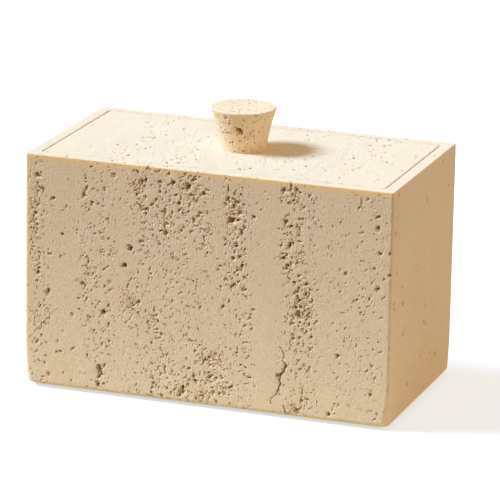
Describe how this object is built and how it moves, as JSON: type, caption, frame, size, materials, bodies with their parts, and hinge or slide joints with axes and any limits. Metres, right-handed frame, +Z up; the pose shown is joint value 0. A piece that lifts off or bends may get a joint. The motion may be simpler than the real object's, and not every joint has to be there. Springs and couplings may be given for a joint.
{
  "type": "cotton swab holder",
  "caption": "Rectangular stone-look box for cotton swabs, with a lid that drops flush into its rim and a flared round knob.",
  "frame": {"origin": "on the table, below the middle of the box", "axes": "+X along the length of the box, +Y from the front face to the back, +Z up through the knob"},
  "size_m": [0.125, 0.068, 0.093],
  "materials": {
    "stone": "matte",
    "brass": "satin",
    "steel": "satin",
    "pad": "matte"
  },
  "bodies": {
    "box": {"box_body": "stone", "foot_pad_front_left": "pad", "foot_pad_front_right": "pad", "foot_pad_rear_left": "pad", "foot_pad_rear_right": "pad"},
    "lid": {"lid_plate": "stone", "knob": "stone", "knob_insert": "brass", "knob_screw": "steel", "screw_washer": "steel"}
  },
  "joints": [
    {"name": "lid_lift", "type": "slide", "parent": "box", "child": "lid", "axis": [0, 0, 1], "range_m": [0, 0.08]}
  ]
}
